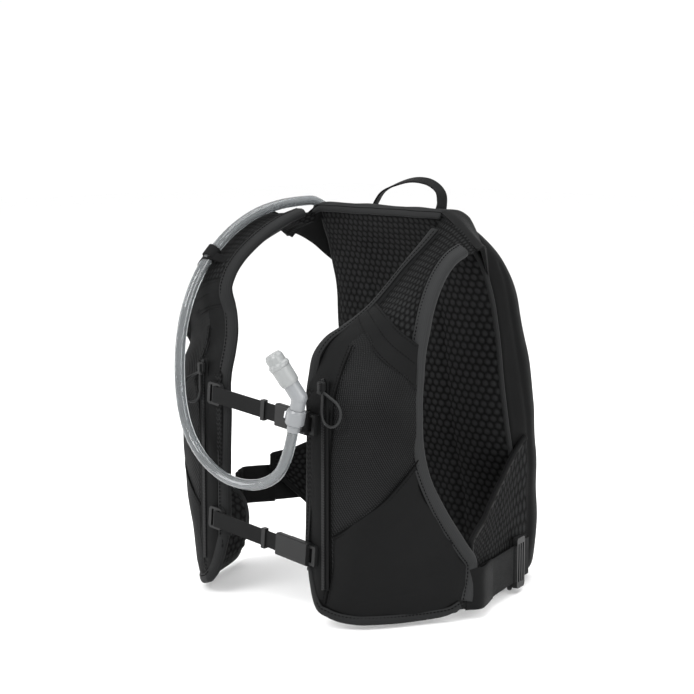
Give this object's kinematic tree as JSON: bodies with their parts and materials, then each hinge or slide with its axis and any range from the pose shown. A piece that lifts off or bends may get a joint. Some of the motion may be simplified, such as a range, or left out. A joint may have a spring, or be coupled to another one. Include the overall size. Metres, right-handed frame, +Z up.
{
  "type": "hydration pack",
  "caption": "Close-fitting running hydration vest with padded front panels, zipped mesh pockets, chest straps, a rear bag and a drinking hose with bite valve.",
  "frame": {"origin": "middle of the footprint, on the floor, without the free drinking hose", "axes": "+Z up, the wearer faces -Y, the wearer's left side is +X"},
  "size_m": [0.3414, 0.3552, 0.4111],
  "materials": {
    "air_mesh": "matte",
    "stretch_mesh": "matte",
    "shell_fabric": "satin",
    "webbing": "matte",
    "black_plastic": "satin",
    "zip_plastic": "satin",
    "pull_cord": "gloss",
    "clear_hose": "gloss",
    "frosted_plastic": "satin",
    "white_plastic": "gloss",
    "soft_rubber": "satin",
    "clear_film": "gloss"
  },
  "bodies": {
    "pack": {"back_panel": "air_mesh", "bag_shell": "shell_fabric", "hose": "clear_hose", "hose_keeper": "webbing", "hose_port": "black_plastic", "inner_hose": "clear_hose", "left_front_pocket": "stretch_mesh", "left_harness_pad": "air_mesh", "left_ladder_lock": "black_plastic", "left_lock_tab": "webbing", "left_pocket_zip": "zip_plastic", "left_side_fin": "shell_fabric", "left_side_strap": "webbing", "left_strap_rail": "webbing", "left_strap_tail": "webbing", "main_zip": "zip_plastic", "rear_pocket": "stretch_mesh", "reservoir": "clear_film", "reservoir_closure": "frosted_plastic", "reservoir_outlet": "frosted_plastic", "right_front_pocket": "stretch_mesh", "right_harness_pad": "air_mesh", "right_ladder_lock": "black_plastic", "right_lock_tab": "webbing", "right_pocket_zip": "zip_plastic", "right_side_fin": "shell_fabric", "right_side_strap": "webbing", "right_strap_rail": "webbing", "right_strap_tail": "webbing", "valve_collar": "frosted_plastic", "yoke": "shell_fabric"},
    "haul_loop": {"haul_loop": "webbing"},
    "left_pull": {"left_pocket_slider": "zip_plastic", "left_pocket_pull": "pull_cord"},
    "right_pull": {"right_pocket_slider": "zip_plastic", "right_pocket_pull": "pull_cord"},
    "upper_strap": {"upper_rail_clip": "black_plastic", "upper_chest_webbing": "webbing", "upper_strap_keeper": "black_plastic", "upper_buckle_socket": "black_plastic", "valve_magnet": "black_plastic"},
    "upper_plug": {"upper_buckle_plug": "black_plastic"},
    "lower_strap": {"lower_rail_clip": "black_plastic", "lower_chest_webbing": "webbing", "lower_strap_keeper": "black_plastic", "lower_buckle_socket": "black_plastic"},
    "lower_plug": {"lower_buckle_plug": "black_plastic"},
    "mouthpiece": {"valve_elbow": "frosted_plastic", "bite_sheath": "soft_rubber"},
    "valve_button": {"valve_button": "white_plastic"},
    "main_left_slider": {"main_slider_left": "zip_plastic"},
    "main_right_slider": {"main_slider_right": "zip_plastic"}
  },
  "joints": [
    {"name": "haul_loop_fold", "type": "hinge", "parent": "pack", "child": "haul_loop", "pos_m": [0, 0.057, 0.381], "axis": [1, 0, 0], "range_deg": [-40, 55], "stiffness_Nm_per_rad": 0.03},
    {"name": "left_pocket_zip_run", "type": "slide", "parent": "pack", "child": "left_pull", "axis": [0, 0, -1], "range_m": [0, 0.178]},
    {"name": "right_pocket_zip_run", "type": "slide", "parent": "pack", "child": "right_pull", "axis": [0, 0, -1], "range_m": [0, 0.178]},
    {"name": "upper_strap_height", "type": "slide", "parent": "pack", "child": "upper_strap", "axis": [0, 0, 1], "range_m": [-0.03, 0.007]},
    {"name": "upper_buckle_release", "type": "slide", "parent": "upper_strap", "child": "upper_plug", "axis": [-0.996, 0, 0.0899], "range_m": [0, 0.012]},
    {"name": "lower_strap_height", "type": "slide", "parent": "pack", "child": "lower_strap", "axis": [0, 0, 1], "range_m": [-0.006, 0.03]},
    {"name": "lower_buckle_release", "type": "slide", "parent": "lower_strap", "child": "lower_plug", "axis": [-0.996, 0, 0.0899], "range_m": [0, 0.012]},
    {"name": "mouthpiece_swivel", "type": "hinge", "parent": "pack", "child": "mouthpiece", "pos_m": [0.068, -0.1695, 0.19], "axis": [0.2691, -0.0142, 0.963], "range_deg": [-60, 45]},
    {"name": "valve_button_press", "type": "slide", "parent": "pack", "child": "valve_button", "axis": [0.9631, 0.0011, -0.269], "range_m": [0, 0.0012], "stiffness_N_per_m": 200},
    {"name": "main_zip_left_run", "type": "slide", "parent": "pack", "child": "main_left_slider", "axis": [1, 0, 0], "range_m": [0, 0.052]},
    {"name": "main_zip_right_run", "type": "slide", "parent": "pack", "child": "main_right_slider", "axis": [-1, 0, 0], "range_m": [0, 0.052]}
  ]
}
